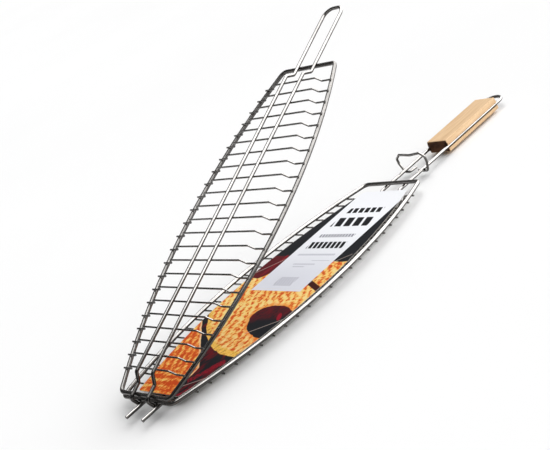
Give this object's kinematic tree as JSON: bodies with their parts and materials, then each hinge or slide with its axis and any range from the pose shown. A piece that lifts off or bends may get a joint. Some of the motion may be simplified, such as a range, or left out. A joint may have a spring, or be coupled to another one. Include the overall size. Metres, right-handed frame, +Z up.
{
  "type": "grill basket",
  "caption": "Hinged double wire basket for grilling whole fish, with a long wire handle, wooden grip, sliding wire clasp and a loose card insert.",
  "frame": {"origin": "bottom centre of the whole object's box with the lid part open, on the surface the floor rods stand on", "axes": "+X from the hinge to the handle's end loop, +Y across the basket, +Z up"},
  "size_m": [0.746, 0.1944, 0.2616],
  "materials": {
    "rim_wire": "bright plated steel wire, 5.5 mm, duller underneath",
    "rod_wire": "bright plated steel wire, 4.5 mm",
    "cross_wire": "bright plated steel wire, 2.3 mm",
    "clasp_wire": "bright spring steel wire, 3.5 mm",
    "grip_wood": "pale hardwood, fine straight grain, waxed; dark end grain at the basket end",
    "card_print": "printed coated card"
  },
  "bodies": {
    "base": {"base_rim": "rim_wire", "base_cross_wire_01": "cross_wire", "base_cross_wire_02": "cross_wire", "base_cross_wire_03": "cross_wire", "base_cross_wire_04": "cross_wire", "base_cross_wire_05": "cross_wire", "base_cross_wire_06": "cross_wire", "base_cross_wire_07": "cross_wire", "base_cross_wire_08": "cross_wire", "base_cross_wire_09": "cross_wire", "base_cross_wire_10": "cross_wire", "base_cross_wire_11": "cross_wire", "base_cross_wire_12": "cross_wire", "base_cross_wire_13": "cross_wire", "base_cross_wire_14": "cross_wire", "base_cross_wire_15": "cross_wire", "base_cross_wire_16": "cross_wire", "base_cross_wire_17": "cross_wire", "base_cross_wire_18": "cross_wire", "base_cross_wire_19": "cross_wire", "base_cross_wire_20": "cross_wire", "base_cross_wire_21": "cross_wire", "base_cross_wire_22": "cross_wire", "base_cross_wire_23": "cross_wire", "base_handle_rod": "rod_wire", "handle_grip": "grip_wood"},
    "lid": {"lid_rim": "rim_wire", "lid_cross_wire_01": "cross_wire", "lid_cross_wire_02": "cross_wire", "lid_cross_wire_03": "cross_wire", "lid_cross_wire_04": "cross_wire", "lid_cross_wire_05": "cross_wire", "lid_cross_wire_06": "cross_wire", "lid_cross_wire_07": "cross_wire", "lid_cross_wire_08": "cross_wire", "lid_cross_wire_09": "cross_wire", "lid_cross_wire_10": "cross_wire", "lid_cross_wire_11": "cross_wire", "lid_cross_wire_12": "cross_wire", "lid_cross_wire_13": "cross_wire", "lid_cross_wire_14": "cross_wire", "lid_cross_wire_15": "cross_wire", "lid_cross_wire_16": "cross_wire", "lid_cross_wire_17": "cross_wire", "lid_cross_wire_18": "cross_wire", "lid_cross_wire_19": "cross_wire", "lid_cross_wire_20": "cross_wire", "lid_cross_wire_21": "cross_wire", "lid_cross_wire_22": "cross_wire", "lid_cross_wire_23": "cross_wire", "lid_handle_rod": "rod_wire"},
    "clasp": {"clasp": "clasp_wire"},
    "card": {"insert_card": "card_print"}
  },
  "joints": [
    {"name": "lid_hinge", "type": "hinge", "parent": "base", "child": "lid", "pos_m": [-0.345, 0, 0.01635], "axis": [0, -1, 0], "range_deg": [-24.3, 86]},
    {"name": "clasp_slide", "type": "slide", "parent": "base", "child": "clasp", "axis": [1, 0, 0], "range_m": [-0.034, 0.04]},
    {"name": "card_lift", "type": "slide", "parent": "base", "child": "card", "axis": [0, 0, 1], "range_m": [0, 0.009]}
  ]
}
